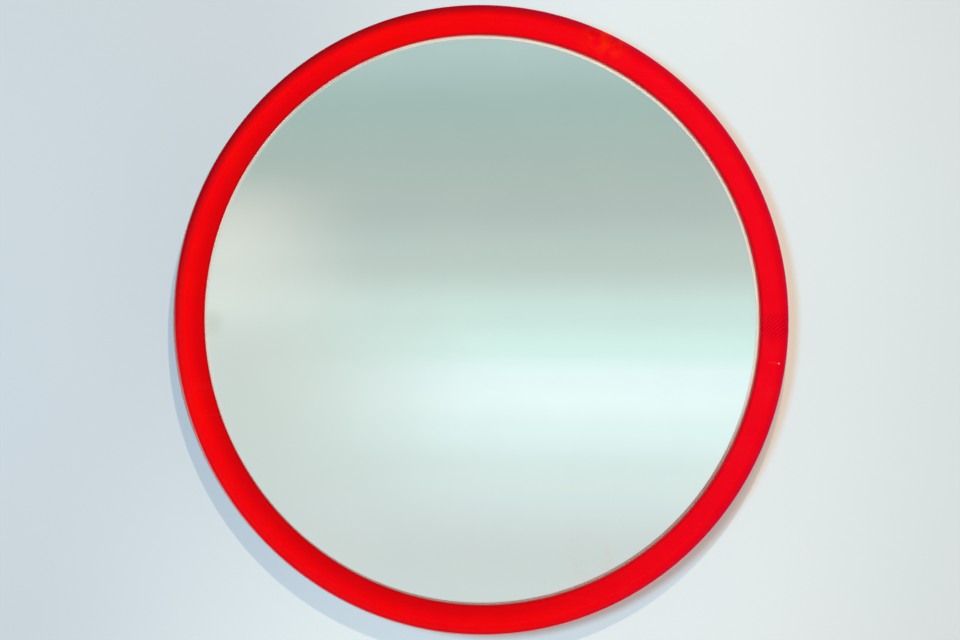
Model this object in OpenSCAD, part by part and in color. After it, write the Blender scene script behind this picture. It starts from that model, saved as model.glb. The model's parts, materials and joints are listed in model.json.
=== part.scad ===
// Round convex traffic mirror on an adjustable wall bracket.
// The bracket bolts to a wall, a knuckle pans on it, and the mirror head tilts on the knuckle.
// Origin: centre of the wall plate's back face. +Z is up, the mirror faces -Y and +X is the viewer's right.

/* [Mirror face] */
// Overall diameter of the mirror, over the rim
mirror_d = 600; // [450:10:800]
// Radius of the face's spherical curve
face_radius = 2200; // [1500:50:3600]
// Thickness of the acrylic face
face_t = 3; // [2:0.5:5]
// How far the face reaches under the rim
face_grip = 8; // [6:0.5:9]

/* [Rim] */
// Width of the rim, from its outer edge to the visible face
rim_w = 28; // [25:0.5:36]
// Wall thickness of the rim
rim_wall = 3; // [2:0.25:3.5]
// Rounding radius of the outer lip
outer_lip_round = 2; // [1:0.1:2.4]
// Rounding radius of the inner lip
inner_lip_round = 1.8; // [1:0.1:2.5]
// From the outer edge to the lowest line of the hollow front
valley_inset = 11.2; // [9:0.2:13]
// Steepest slope of the front, just inside the outer lip
flank_slope = 55; // [40:1:65]
// Steepest slope of the front, just outside the inner lip
floor_slope = 10; // [4:1:14]
// Height of the inner lip over the seal
inner_lip_h = 5; // [4:0.5:8]
// Depth of the rim's side wall
rim_skirt = 22; // [20:1:30]

/* [Edge seal] */
// Thickness of the seal in front of the face
seal_front = 1; // [0.6:0.1:2]
// Thickness of the seal behind the face's edge
seal_back = 1.5; // [1:0.1:3]
// Thickness of the seal round the face's edge
seal_edge = 1.5; // [1:0.1:2]
// How far the seal shows inside the rim
seal_show = 0.8; // [0.4:0.1:2]

/* [Rear cover] */
// Wall thickness of the rear cover
cover_wall = 3; // [2:0.25:4]
// Depth of the cover, from its back to its flange
cover_depth = 14; // [12:1:30]
// Radial run of the cover's sloping side
cover_run = 22; // [16:1:40]
// Height of the ribs inside the cover
rib_h = 8; // [4:1:11]
// Thickness of the ribs
rib_t = 2.5; // [2:0.25:4]
// Number of ribs
rib_count = 12; // [6:6:18]
// Height of the stiffening rings on the back
swage_h = 1.5; // [1:0.25:3]
// Width of the stiffening rings on the back
swage_w = 9; // [6:1:14]
// Radius of each drain hole
drain_r = 3.5; // [2:0.5:5]
// Thickness of the inner steel backplate
backplate_t = 2.5; // [2:0.5:5]
// Radius of the inner steel backplate
backplate_r = 78; // [74:1:90]

/* [Fasteners] */
// Number of screws that hold the rim to the cover
rim_screws = 12; // [6:6:18]
// Shank radius of the rim screws
rim_screw_r = 1.9; // [1.4:0.1:2.2]
// Shank radius of the pan and tilt bolts
pivot_bolt_r = 5; // [4:0.5:6]
// Shank radius of the bolts that hold the head bracket
bracket_bolt_r = 3; // [2.5:0.5:4]

/* [Wall bracket] */
// Width of the wall plate
plate_w = 140; // [130:1:180]
// Height of the wall plate
plate_h = 110; // [100:1:160]
// Thickness of the wall plate, the yoke and the head bracket
plate_t = 5; // [3:0.5:8]
// Corner radius of the wall plate
plate_corner = 12; // [6:1:15]
// Distance between the wall plate's holes, across
wall_hole_x = 110; // [90:1:115]
// Distance between the wall plate's holes, up
wall_hole_z = 80; // [70:1:84]
// Radius of the wall plate's holes
wall_hole_r = 5.5; // [4:0.5:7]

/* [Pan and tilt] */
// Distance from the wall to the pan axis
pan_reach = 34; // [30:1:60]
// Distance from the pan axis to the tilt axis
tilt_reach = 26; // [25:1:40]
// Distance from the tilt axis to the head bracket's back face
bracket_reach = 19; // [18:1:30]
// Outer radius of the knuckle's upright barrel
pan_barrel_r = 14; // [12:0.5:15]
// Outer radius of the knuckle's level barrel
tilt_barrel_r = 13; // [12:0.5:15]
// Length of the knuckle's upright barrel
pan_barrel_l = 44; // [36:1:60]
// Length of the knuckle's level barrel
tilt_barrel_l = 46; // [36:1:60]
// Outer radius of the flanged bushes
bush_r = 8; // [7:0.5:9]
// Width and height of the head bracket's plate
bracket_w = 110; // [100:1:130]
// Distance between the head bracket's bolts, both ways
bracket_hole_gap = 80; // [76:1:88]
// Thickness of the rubber pad between the head bracket and the cover
pad_t = 2; // [1:0.5:4]

/* [Hidden] */

// Facets of the large and the small circles
big_fn = 180;
small_fn = 48;
// How far a cutter reaches past the solid that it cuts
cut = 1;

// Gap between pieces that are pressed, screwed or laid together
fit_gap = 0.02;
// Radial running clearance of a pivot bolt in its bushes
run_gap = 0.05;
// Radial clearance of a bolt in a plain hole
hole_gap = 0.3;
// Side clearance between a bush flange and the ear beside it
side_gap = 0.2;

// Flanged bushes
bush_l = 12;
bush_flange_r = 11;
bush_flange_t = 1.5;

// Ears of the yoke and the head bracket
pan_ear_r = pan_barrel_r + 4;
tilt_ear_r = tilt_barrel_r + 3;
pan_ear_in = pan_barrel_l / 2 + bush_flange_t + side_gap;
pan_ear_out = pan_ear_in + plate_t;
tilt_ear_in = tilt_barrel_l / 2 + bush_flange_t + side_gap;
tilt_ear_out = tilt_ear_in + plate_t;

// Washers and disc springs, as shares of the bolt that they sit on
washer_r = 2 * pivot_bolt_r;
washer_t = 2;
spring_t = 1;
spring_cone = 0.5;
spring_stack = 2 * (spring_t + spring_cone);
small_washer_r = 2 * bracket_bolt_r;
small_washer_t = 1.6;

// Distances from the wall, from the wall plate to the front of the rim
pan_axis = pan_reach;
tilt_axis = pan_axis + tilt_reach;
bracket_back = tilt_axis + bracket_reach;
bracket_front = bracket_back + plate_t;
cover_back = bracket_front + pad_t;
cover_floor = cover_back + cover_wall;
flange_back = cover_back + cover_depth;
flange_front = flange_back + cover_wall;

// Radii of the rim, the face and the seal
rim_r = mirror_d / 2;
aperture_r = rim_r - rim_w;
face_edge_r = aperture_r + face_grip;
seal_show_r = aperture_r - seal_show;
seal_outer_r = face_edge_r + seal_edge;
valley_r = rim_r - valley_inset;

// Radii of the cover
flange_out_r = rim_r - rim_wall - 0.5;
flange_in_r = aperture_r - 4;
cover_flat_r = flange_in_r - cover_run;
cover_corner = cover_wall * tan(atan(cover_depth / cover_run) / 2);

// How far the spherical face falls back at radius r, and where its front is
function face_drop(r) = face_radius - sqrt(face_radius * face_radius - r * r);
face_apex = flange_front + seal_back + face_t + face_drop(face_edge_r);
function face_front(r) = face_apex - face_drop(r);

// Where the rim's inner skirt stands on the seal
function skirt_end(r) = face_front(r) + seal_front + 2 * fit_gap;

// The rim's front: an outer lip, a steep flank, a long shallow floor and a small inner lip
inner_lip_z = skirt_end(aperture_r) + inner_lip_h;
floor_arc = (valley_r - aperture_r - inner_lip_round * (1 + sin(floor_slope))) / sin(floor_slope);
valley_z = inner_lip_z - (floor_arc + inner_lip_round) * (1 - cos(floor_slope));
flank_arc = (rim_r - valley_r - outer_lip_round * (1 + sin(flank_slope))) / sin(flank_slope);
rim_front = valley_z + (flank_arc + outer_lip_round) * (1 - cos(flank_slope));
rim_back = rim_front - rim_skirt;
floor_under = asin((valley_r - aperture_r - rim_wall) / (floor_arc + rim_wall));
flank_under = asin((rim_r - rim_wall - valley_r) / (flank_arc + rim_wall));

// Screws that hold the rim to the cover
screw_ring_r = (seal_outer_r + rim_r - rim_wall) / 2;
boss_r = rim_screw_r + 2.2;
boss_top = valley_z - rim_wall / 2;
pilot_top = valley_z - rim_wall - 0.3;
screw_tip = pilot_top - 1;
screw_head_r = 1.9 * rim_screw_r;
screw_head_h = 1.25 * rim_screw_r;

// Points of an arc, without its first point
function arc(centre, radius, from, to, steps) = [
    for (i = [1:steps])
        let (a = from + (to - from) * i / steps)
        centre + radius * [cos(a), sin(a)]
];

// Section of the spherical face: it has one straight step under the rim, which the seal follows
face_steps = 24;
face_section = concat(
    [for (i = [0:face_steps]) let (r = seal_show_r * i / face_steps) [r, face_front(r)]],
    [[face_edge_r, face_front(face_edge_r)], [face_edge_r, face_front(face_edge_r) - face_t]],
    [for (i = [face_steps:-1:0]) let (r = seal_show_r * i / face_steps) [r, face_front(r) - face_t]]
);

// Section of the channel seal round the face's edge
seal_section = [
    [seal_show_r, face_front(seal_show_r) + fit_gap],
    [seal_show_r, face_front(seal_show_r) + seal_front + fit_gap],
    [seal_outer_r, face_front(seal_outer_r) + seal_front + fit_gap],
    [seal_outer_r, flange_front],
    [aperture_r, flange_front],
    [aperture_r, face_front(aperture_r) - face_t - fit_gap - 0.01],
    [face_edge_r + fit_gap, face_front(face_edge_r) - face_t - fit_gap - 0.01],
    [face_edge_r + fit_gap, face_front(face_edge_r) + fit_gap]
];

// Section of the rim, from the outside of its side wall over the front to its inner skirt
rim_section = concat(
    [[rim_r - rim_wall, rim_back], [rim_r, rim_back], [rim_r, rim_front - outer_lip_round]],
    arc([rim_r - outer_lip_round, rim_front - outer_lip_round], outer_lip_round, 0, 90 + flank_slope, 8),
    arc([valley_r, valley_z + flank_arc], flank_arc, 270 + flank_slope, 270, 7),
    arc([valley_r, valley_z + floor_arc], floor_arc, 270, 270 - floor_slope, 6),
    arc([aperture_r + inner_lip_round, inner_lip_z - inner_lip_round], inner_lip_round,
        90 - floor_slope, 180, 6),
    [[aperture_r, skirt_end(aperture_r)], [aperture_r + rim_wall, skirt_end(aperture_r + rim_wall)]],
    [[valley_r - (floor_arc + rim_wall) * sin(floor_under),
      valley_z + floor_arc - (floor_arc + rim_wall) * cos(floor_under)]],
    arc([valley_r, valley_z + floor_arc], floor_arc + rim_wall, 270 - floor_under, 270, 4),
    arc([valley_r, valley_z + flank_arc], flank_arc + rim_wall, 270, 270 + flank_under, 5)
);

// Section of the rear cover
cover_section = [
    [0, cover_back],
    [cover_flat_r, cover_back],
    [flange_in_r, flange_back],
    [flange_out_r, flange_back],
    [flange_out_r, flange_front],
    [flange_in_r - cover_corner, flange_front],
    [cover_flat_r - cover_corner, cover_floor],
    [0, cover_floor]
];
swage_radii = [0.42 * rim_r, 0.68 * rim_r];
rib_start_r = backplate_r + 6;

// Pieces are drawn with x across, y up and z away from the wall, then stood up on the wall
module on_wall() rotate([90, 0, 0]) children();

// Places a piece drawn along z on the pan axis (head up) or on the tilt axis (head to +x)
module on_pan_axis() on_wall() translate([0, 0, pan_axis]) rotate([-90, 0, 0]) children();
module on_tilt_axis() on_wall() translate([0, 0, tilt_axis]) rotate([0, 90, 0]) children();

module at_corners(gap_x, gap_y) {
    for (sx = [-1, 1], sy = [-1, 1])
        translate([sx * gap_x / 2, sy * gap_y / 2, 0]) children();
}

module around(count) {
    for (i = [0:count - 1])
        rotate([0, 0, (i + 0.5) * 360 / count]) children();
}

module ring(r_in, r_out, t) {
    difference() {
        cylinder(r = r_out, h = t, $fn = small_fn);
        translate([0, 0, -cut]) cylinder(r = r_in, h = t + 2 * cut, $fn = small_fn);
    }
}

module rounded_plate(w, h, t, corner) {
    translate([-w / 2, -h / 2 + corner, 0]) cube([w, h - 2 * corner, t]);
    translate([-w / 2 + corner, -h / 2, 0]) cube([w - 2 * corner, h, t]);
    at_corners(w - 2 * corner, h - 2 * corner) cylinder(r = corner, h = t, $fn = small_fn);
}

// Hexagon bolt: the head is above z = 0 and the shank hangs below it
module hex_bolt(shank_r, length) {
    across_corners_r = 1.96 * shank_r;
    head_h = 1.28 * shank_r;
    intersection() {
        cylinder(r = across_corners_r, h = head_h, $fn = 6);
        cylinder(r1 = 2.6 * across_corners_r, r2 = 0.88 * across_corners_r, h = head_h, $fn = small_fn);
    }
    translate([0, 0, -length]) cylinder(r = shank_r, h = length + head_h / 2, $fn = small_fn);
}

// Locking nut: a hexagon with a round collar, standing on z = 0
module lock_nut(shank_r) {
    difference() {
        union() {
            cylinder(r = 1.96 * shank_r, h = 1.5 * shank_r, $fn = 6);
            cylinder(r = 1.55 * shank_r, h = 2 * shank_r, $fn = small_fn);
        }
        translate([0, 0, -cut]) cylinder(r = shank_r + fit_gap, h = 2 * shank_r + 2 * cut, $fn = small_fn);
    }
}

// Pair of disc springs, laid face to face on z = 0
module disc_spring_pair(r_in, r_out) {
    lower = [[r_in, spring_cone], [r_out, 0], [r_out, spring_t], [r_in, spring_t + spring_cone]];
    rotate_extrude($fn = small_fn) polygon(lower);
    translate([0, 0, spring_stack]) mirror([0, 0, 1]) rotate_extrude($fn = small_fn) polygon(lower);
}

// Two flanged bushes, one pressed into each end of a barrel that is centred on z = 0
module bush_pair(barrel_l) {
    for (side = [0, 1])
        mirror([0, 0, side]) translate([0, 0, barrel_l / 2]) {
            difference() {
                union() {
                    cylinder(r = bush_flange_r, h = bush_flange_t, $fn = small_fn);
                    translate([0, 0, -bush_l]) cylinder(r = bush_r - fit_gap, h = bush_l + cut, $fn = small_fn);
                }
                translate([0, 0, -bush_l - cut])
                    cylinder(r = pivot_bolt_r + run_gap, h = bush_l + bush_flange_t + 2 * cut, $fn = small_fn);
            }
        }
}

// Clamping set of one pivot, along z: ear_out is where the outside of each ear is
module pivot_bolt(ear_out) {
    tail = ear_out + spring_stack + washer_t + 2 * pivot_bolt_r + 3;
    translate([0, 0, ear_out + washer_t]) hex_bolt(pivot_bolt_r, ear_out + washer_t + tail);
}

module pivot_washers(ear_out) {
    translate([0, 0, ear_out]) ring(pivot_bolt_r + hole_gap, washer_r, washer_t);
    translate([0, 0, -ear_out - spring_stack - washer_t]) ring(pivot_bolt_r + hole_gap, washer_r, washer_t);
}

module pivot_springs(ear_out) {
    translate([0, 0, -ear_out - spring_stack]) disc_spring_pair(pivot_bolt_r + hole_gap, washer_r - 0.5);
}

module pivot_nut(ear_out) {
    translate([0, 0, -ear_out - spring_stack - washer_t]) mirror([0, 0, 1]) lock_nut(pivot_bolt_r);
}

// Wall side

module wall_plate() {
    color("silver") on_wall() difference() {
        rounded_plate(plate_w, plate_h, plate_t, plate_corner);
        at_corners(wall_hole_x, wall_hole_z)
            translate([0, 0, -cut]) cylinder(r = wall_hole_r, h = plate_t + 2 * cut, $fn = small_fn);
    }
}

module pan_yoke() {
    color("silver") difference() {
        on_wall() {
            translate([-pan_ear_r, -pan_ear_out, plate_t]) cube([2 * pan_ear_r, 2 * pan_ear_out, plate_t]);
            for (side = [0, 1])
                mirror([0, side, 0]) {
                    translate([-pan_ear_r, pan_ear_in, plate_t])
                        cube([2 * pan_ear_r, plate_t, pan_axis - plate_t]);
                    translate([0, pan_ear_out, pan_axis])
                        rotate([90, 0, 0]) cylinder(r = pan_ear_r, h = plate_t, $fn = small_fn);
                }
        }
        on_pan_axis() translate([0, 0, -pan_ear_out - cut])
            cylinder(r = pivot_bolt_r + hole_gap, h = 2 * (pan_ear_out + cut), $fn = small_fn);
    }
}

module pan_bolt() color("gainsboro") on_pan_axis() pivot_bolt(pan_ear_out);
module pan_washers() color("gainsboro") on_pan_axis() pivot_washers(pan_ear_out);
module pan_disc_springs() color("dimgray") on_pan_axis() pivot_springs(pan_ear_out);
module pan_nut() color("gainsboro") on_pan_axis() pivot_nut(pan_ear_out);

// Swivel

module knuckle() {
    web_w = 1.5 * pan_barrel_r;
    web_h = 2 * tilt_barrel_r - 2;
    color("darkgray") difference() {
        union() {
            on_pan_axis() cylinder(r = pan_barrel_r, h = pan_barrel_l, center = true, $fn = small_fn);
            on_tilt_axis() cylinder(r = tilt_barrel_r, h = tilt_barrel_l, center = true, $fn = small_fn);
            on_wall() translate([-web_w / 2, -web_h / 2, pan_axis]) cube([web_w, web_h, tilt_reach]);
        }
        on_pan_axis() cylinder(r = bush_r, h = pan_barrel_l + 2 * cut, center = true, $fn = small_fn);
        on_tilt_axis() cylinder(r = bush_r, h = tilt_barrel_l + 2 * cut, center = true, $fn = small_fn);
    }
}

module pan_bushes() color("ivory") on_pan_axis() bush_pair(pan_barrel_l);
module tilt_bushes() color("ivory") on_tilt_axis() bush_pair(tilt_barrel_l);

// Mirror head

module head_bracket() {
    color("silver") difference() {
        on_wall() {
            translate([0, 0, bracket_back]) rounded_plate(bracket_w, bracket_w, plate_t, plate_corner);
            for (side = [0, 1])
                mirror([side, 0, 0]) {
                    translate([tilt_ear_in, -tilt_ear_r, tilt_axis])
                        cube([plate_t, 2 * tilt_ear_r, bracket_reach + plate_t / 2]);
                    translate([tilt_ear_in, 0, tilt_axis])
                        rotate([0, 90, 0]) cylinder(r = tilt_ear_r, h = plate_t, $fn = small_fn);
                }
        }
        on_tilt_axis() translate([0, 0, -tilt_ear_out - cut])
            cylinder(r = pivot_bolt_r + hole_gap, h = 2 * (tilt_ear_out + cut), $fn = small_fn);
        bracket_holes(bracket_back, plate_t);
    }
}

module bracket_holes(back, t) {
    on_wall() at_corners(bracket_hole_gap, bracket_hole_gap)
        translate([0, 0, back - cut]) cylinder(r = bracket_bolt_r + hole_gap, h = t + 2 * cut, $fn = small_fn);
}

module tilt_bolt() color("gainsboro") on_tilt_axis() pivot_bolt(tilt_ear_out);
module tilt_washers() color("gainsboro") on_tilt_axis() pivot_washers(tilt_ear_out);
module tilt_disc_springs() color("dimgray") on_tilt_axis() pivot_springs(tilt_ear_out);
module tilt_nut() color("gainsboro") on_tilt_axis() pivot_nut(tilt_ear_out);

module bracket_pad() {
    color("black") difference() {
        on_wall() translate([0, 0, bracket_front]) rounded_plate(bracket_w, bracket_w, pad_t, plate_corner);
        bracket_holes(bracket_front, pad_t);
    }
}

// The bolts enter from behind, and their nuts are inside the cover
nut_seat = cover_floor + backplate_t;

module bracket_bolts() {
    color("gainsboro") on_wall() at_corners(bracket_hole_gap, bracket_hole_gap)
        translate([0, 0, bracket_back - small_washer_t]) mirror([0, 0, 1])
            hex_bolt(bracket_bolt_r, nut_seat + 2 * small_washer_t + 2 * bracket_bolt_r + 2 - bracket_back);
}

module bracket_washers() {
    color("gainsboro") on_wall() at_corners(bracket_hole_gap, bracket_hole_gap)
        for (z = [bracket_back - small_washer_t, nut_seat])
            translate([0, 0, z]) ring(bracket_bolt_r + hole_gap, small_washer_r, small_washer_t);
}

module bracket_nuts() {
    color("gainsboro") on_wall() at_corners(bracket_hole_gap, bracket_hole_gap)
        translate([0, 0, nut_seat + small_washer_t]) lock_nut(bracket_bolt_r);
}

module backplate() {
    color("silver") difference() {
        on_wall() translate([0, 0, cover_floor]) ring(backplate_r / 4, backplate_r, backplate_t);
        bracket_holes(cover_floor, backplate_t);
    }
}

module rear_cover() {
    color("dimgray") difference() {
        on_wall() {
            rotate_extrude($fn = big_fn) polygon(cover_section);
            for (r = swage_radii)
                rotate_extrude($fn = big_fn) polygon([
                    [r - swage_w / 2, cover_back + cut],
                    [r - swage_w / 2, cover_back],
                    [r - swage_w / 2 + swage_h, cover_back - swage_h],
                    [r + swage_w / 2 - swage_h, cover_back - swage_h],
                    [r + swage_w / 2, cover_back],
                    [r + swage_w / 2, cover_back + cut]
                ]);
            around(rib_count)
                translate([rib_start_r, -rib_t / 2, cover_floor - cut])
                    cube([cover_flat_r - cover_corner - rib_start_r, rib_t, rib_h + cut]);
        }
        bracket_holes(cover_back, cover_wall);
        on_wall() around(rim_screws)
            translate([screw_ring_r, 0, flange_back - cut])
                cylinder(r = rim_screw_r + hole_gap, h = cover_wall + 2 * cut, $fn = small_fn);
        on_wall() for (a = [-12, 0, 12])
            rotate([0, 0, a - 90]) translate([(cover_flat_r + flange_in_r) / 2, 0, cover_back - cut])
                cylinder(r = drain_r, h = cover_depth + cover_wall + cut, $fn = small_fn);
    }
}

module cover_screws() {
    color("silver") on_wall() around(rim_screws)
        translate([screw_ring_r, 0, 0]) {
            translate([0, 0, flange_back - screw_head_h])
                cylinder(r1 = 0.75 * screw_head_r, r2 = screw_head_r, h = screw_head_h, $fn = small_fn);
            translate([0, 0, flange_back - screw_head_h / 2])
                cylinder(r = rim_screw_r, h = screw_tip - flange_back + screw_head_h / 2, $fn = small_fn);
        }
}

module mirror_face() color("lightcyan") on_wall() rotate_extrude($fn = big_fn) polygon(face_section);

module edge_seal() color("whitesmoke") on_wall() rotate_extrude($fn = big_fn) polygon(seal_section);

module rim_frame() {
    color("red") on_wall() difference() {
        union() {
            rotate_extrude($fn = big_fn) polygon(rim_section);
            around(rim_screws) translate([screw_ring_r, 0, flange_front])
                cylinder(r = boss_r, h = boss_top - flange_front, $fn = small_fn);
        }
        around(rim_screws) translate([screw_ring_r, 0, flange_front - cut])
            cylinder(r = rim_screw_r + fit_gap, h = pilot_top - flange_front + cut, $fn = small_fn);
    }
}

wall_plate();
pan_yoke();
pan_bolt();
pan_washers();
pan_disc_springs();
pan_nut();
knuckle();
pan_bushes();
tilt_bushes();
head_bracket();
tilt_bolt();
tilt_washers();
tilt_disc_springs();
tilt_nut();
bracket_pad();
bracket_bolts();
bracket_washers();
bracket_nuts();
backplate();
rear_cover();
cover_screws();
mirror_face();
edge_seal();
rim_frame();
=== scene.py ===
import json
import math

import bmesh
import bpy
from mathutils import Matrix, Vector


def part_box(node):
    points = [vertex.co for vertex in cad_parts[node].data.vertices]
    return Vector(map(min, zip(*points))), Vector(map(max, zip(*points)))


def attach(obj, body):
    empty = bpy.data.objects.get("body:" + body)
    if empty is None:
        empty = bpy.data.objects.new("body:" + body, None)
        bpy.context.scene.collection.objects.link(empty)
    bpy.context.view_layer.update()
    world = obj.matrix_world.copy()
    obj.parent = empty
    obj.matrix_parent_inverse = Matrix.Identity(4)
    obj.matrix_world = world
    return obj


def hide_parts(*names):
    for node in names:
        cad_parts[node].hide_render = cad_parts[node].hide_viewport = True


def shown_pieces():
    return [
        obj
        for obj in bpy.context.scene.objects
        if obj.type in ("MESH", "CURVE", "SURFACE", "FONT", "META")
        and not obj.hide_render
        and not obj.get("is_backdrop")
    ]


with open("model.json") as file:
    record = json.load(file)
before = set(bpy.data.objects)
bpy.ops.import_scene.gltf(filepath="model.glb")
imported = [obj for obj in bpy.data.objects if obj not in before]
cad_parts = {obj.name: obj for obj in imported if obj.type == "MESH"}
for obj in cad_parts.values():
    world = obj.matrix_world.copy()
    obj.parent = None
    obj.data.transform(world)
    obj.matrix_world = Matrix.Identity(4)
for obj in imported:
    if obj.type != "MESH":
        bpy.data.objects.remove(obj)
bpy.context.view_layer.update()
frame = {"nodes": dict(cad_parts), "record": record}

# Round convex traffic mirror on a pan-and-tilt wall bracket.
# Metres, +Z up, the wall is y = 0 and the mirror faces -Y. "Depth" is the distance out from the wall.

scene = bpy.context.scene
MM = 0.001

# ---- sizes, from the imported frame

rim_low, rim_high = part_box("rim_frame")
face_low, face_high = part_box("mirror_face")
seal_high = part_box("edge_seal")[1]
cover_low, cover_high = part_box("rear_cover")

RIM_R = min(rim_high.x, -rim_low.x, rim_high.z)
RIM_FRONT = -rim_low.y
RIM_BACK = -rim_high.y
RIM_W = 28 * MM
RIM_WALL = 3 * MM
OUTER_LIP_ROUND = 2 * MM
INNER_LIP_ROUND = 1.8 * MM
INNER_LIP_H = 5 * MM
VALLEY_INSET = 11.2 * MM
FLANK_SLOPE = math.radians(55)
FLOOR_SLOPE = math.radians(10)

APERTURE_R = RIM_R - RIM_W
FACE_RADIUS = 2.2
FACE_T = 3 * MM
FACE_EDGE_R = face_high.x
FACE_APEX = -face_low.y

SEAL_FRONT = 1 * MM
SEAL_SHOW = 0.8 * MM
SEAL_OUTER_R = seal_high.x
FIT_GAP = 0.02 * MM

COVER_WALL = 3 * MM
COVER_RUN = 22 * MM
SWAGE_H = 1.5 * MM
SWAGE_W = 9 * MM
COVER_BACK = -cover_high.y + SWAGE_H
FLANGE_FRONT = -cover_low.y
FLANGE_BACK = FLANGE_FRONT - COVER_WALL
FLANGE_OUT_R = cover_high.x
FLANGE_IN_R = APERTURE_R - 4 * MM
COVER_FLAT_R = FLANGE_IN_R - COVER_RUN
SWAGE_RADII = (0.42 * RIM_R, 0.68 * RIM_R)
DRAIN_R = 3.5 * MM
DRAIN_H = 8 * MM
DRAIN_ANGLES = (-12, 0, 12)
DRILL_L = 40 * MM
RIM_SCREWS = 12
SCREW_RING_R = (SEAL_OUTER_R + RIM_R - RIM_WALL) / 2
RIM_SCREW_R = 1.9 * MM
SCREW_SHANK_L = 9 * MM
SCREW_POINT_L = 0.6 * MM
RECESS_TAPER = 0.55

PIVOT_BOLT_R = 5 * MM
PIVOT_PITCH = 1.5 * MM
THREAD_PAST_NUT = 3 * MM
BRACKET_BOLT_R = 3 * MM
BRACKET_PITCH = 1 * MM
BRACKET_THREAD_L = 12 * MM
HEX_CORNER_SHARE = 1.96

SEAM_ANGLE = math.radians(-8.4)
SEAM_START_R = RIM_R - 18 * MM
SEAM_END_R = RIM_R - 6.5 * MM

# The wall's sheet stands a little behind the wall plate's back
STAGE_HALF = 4.0
WALL_HEIGHT = 4.0
WALL_GAP = 0.5 * MM
FLOOR_DROP = 1.5
FLOOR_REACH = 3.2

CAMERA_LENS = 67.12
CAMERA_FROM_LEFT = 12.66
CAMERA_FROM_ABOVE = -0.87
CAMERA_DISTANCE = 1.708
CAMERA_TARGET = (-11.5 * MM, -110 * MM, -0.66 * MM)

# Points round each turned piece, and the angle in degrees past which an edge stays sharp
RIM_SEGMENTS = 400
SEAL_SEGMENTS = 320
FACE_SEGMENTS = 256
COVER_SEGMENTS = 256
HEX_SEGMENTS = 48
SHARP_ANGLE = 32
MERGE_GAP = 0.004 * MM
BLACK = (0.0, 0.0, 0.0)


# ---- sections

def arc(centre, radius, start, end, steps):
    """Points of an arc, without its first point; angles in radians."""
    turn = [start + (end - start) * i / steps for i in range(1, steps + 1)]
    return [(centre[0] + radius * math.cos(a), centre[1] + radius * math.sin(a)) for a in turn]


def face_front(r):
    """Depth of the spherical face's front at radius r."""
    return FACE_APEX - (FACE_RADIUS - math.sqrt(FACE_RADIUS ** 2 - r * r))


def soften(points, radii, steps):
    """Rounds the corners of a closed outline; radii is one radius for each corner, 0 to leave it sharp."""
    out = []
    count = len(points)
    for i, radius in enumerate(radii):
        p = Vector(points[i])
        if radius == 0:
            out.append(tuple(p))
            continue
        before = (Vector(points[i - 1]) - p).normalized()
        after = (Vector(points[(i + 1) % count]) - p).normalized()
        half = before.angle(after) / 2
        reach = radius / math.tan(half)
        centre = p + (before + after).normalized() * (radius / math.sin(half))
        first = p + before * reach - centre
        last = p + after * reach - centre
        sweep = first.angle_signed(last)
        for k in range(steps + 1):
            turned = first.copy()
            turned.rotate(Matrix.Rotation(-sweep * k / steps, 2))
            out.append(tuple(centre + turned))
    return out


def rim_section():
    """Outer lip, steep flank, long shallow floor and small inner lip, then back along the inside."""
    skirt = face_front(APERTURE_R) + SEAL_FRONT + 2 * FIT_GAP
    skirt_outer = face_front(APERTURE_R + RIM_WALL) + SEAL_FRONT + 2 * FIT_GAP
    inner_lip = skirt + INNER_LIP_H
    valley_r = RIM_R - VALLEY_INSET
    floor_run = valley_r - APERTURE_R - INNER_LIP_ROUND * (1 + math.sin(FLOOR_SLOPE))
    floor_arc = floor_run / math.sin(FLOOR_SLOPE)
    valley = inner_lip - (floor_arc + INNER_LIP_ROUND) * (1 - math.cos(FLOOR_SLOPE))
    flank_run = RIM_R - valley_r - OUTER_LIP_ROUND * (1 + math.sin(FLANK_SLOPE))
    flank_arc = flank_run / math.sin(FLANK_SLOPE)
    front = valley + (flank_arc + OUTER_LIP_ROUND) * (1 - math.cos(FLANK_SLOPE))
    floor_under = math.asin((valley_r - APERTURE_R - RIM_WALL) / (floor_arc + RIM_WALL))
    flank_under = math.asin((RIM_R - RIM_WALL - valley_r) / (flank_arc + RIM_WALL))
    down = 1.5 * math.pi
    edge = 0.6 * MM
    points = [(RIM_R - RIM_WALL, RIM_BACK + edge), (RIM_R - RIM_WALL + edge, RIM_BACK)]
    points += [(RIM_R - edge, RIM_BACK)]
    points += arc((RIM_R - edge, RIM_BACK + edge), edge, down, 2 * math.pi, 4)
    points += [(RIM_R, front - OUTER_LIP_ROUND)]
    points += arc((RIM_R - OUTER_LIP_ROUND, front - OUTER_LIP_ROUND), OUTER_LIP_ROUND,
                  0, math.pi / 2 + FLANK_SLOPE, 16)
    points += arc((valley_r, valley + flank_arc), flank_arc, down + FLANK_SLOPE, down, 14)
    points += arc((valley_r, valley + floor_arc), floor_arc, down, down - FLOOR_SLOPE, 10)
    points += arc((APERTURE_R + INNER_LIP_ROUND, inner_lip - INNER_LIP_ROUND), INNER_LIP_ROUND,
                  math.pi / 2 - FLOOR_SLOPE, math.pi, 10)
    points += [(APERTURE_R, skirt), (APERTURE_R + RIM_WALL, skirt_outer)]
    points += arc((valley_r, valley + floor_arc), floor_arc + RIM_WALL, down - floor_under, down, 5)
    points += arc((valley_r, valley + flank_arc), flank_arc + RIM_WALL, down, down + flank_under, 6)
    return points


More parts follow.
